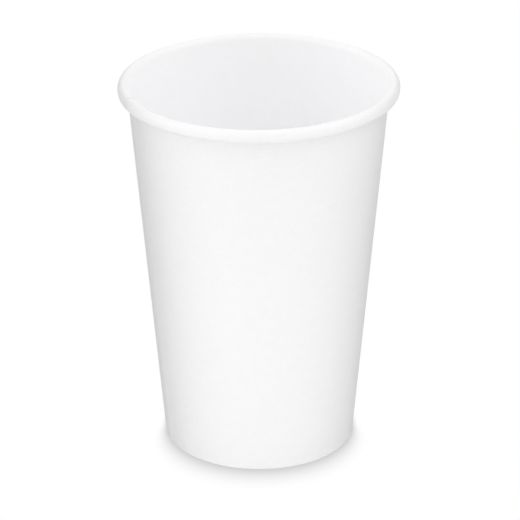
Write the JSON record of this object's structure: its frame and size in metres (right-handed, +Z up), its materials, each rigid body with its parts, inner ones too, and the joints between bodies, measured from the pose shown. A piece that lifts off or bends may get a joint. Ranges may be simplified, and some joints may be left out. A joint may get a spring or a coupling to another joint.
{
  "type": "paper coffee cup",
  "caption": "Plain white single-wall paper hot-drink cup with a rolled rim, a lapped side seam and a recessed bottom held in a folded hem.",
  "frame": {"origin": "centre of the base ring, on the surface that the cup stands on", "axes": "+Z up along the cup's axis, -Y towards the viewer of the picture, +X to the viewer's right; the side seam lies near -X"},
  "size_m": [0.08, 0.08, 0.11],
  "materials": {
    "side_board": "matt white coated cup board, slightly glossier on the liquid side",
    "bottom_board": "matt white coated cup board, slightly glossier on the liquid side"
  },
  "bodies": {
    "root": {"sidewall": "side_board", "bottom_disc": "bottom_board"}
  },
  "joints": []
}
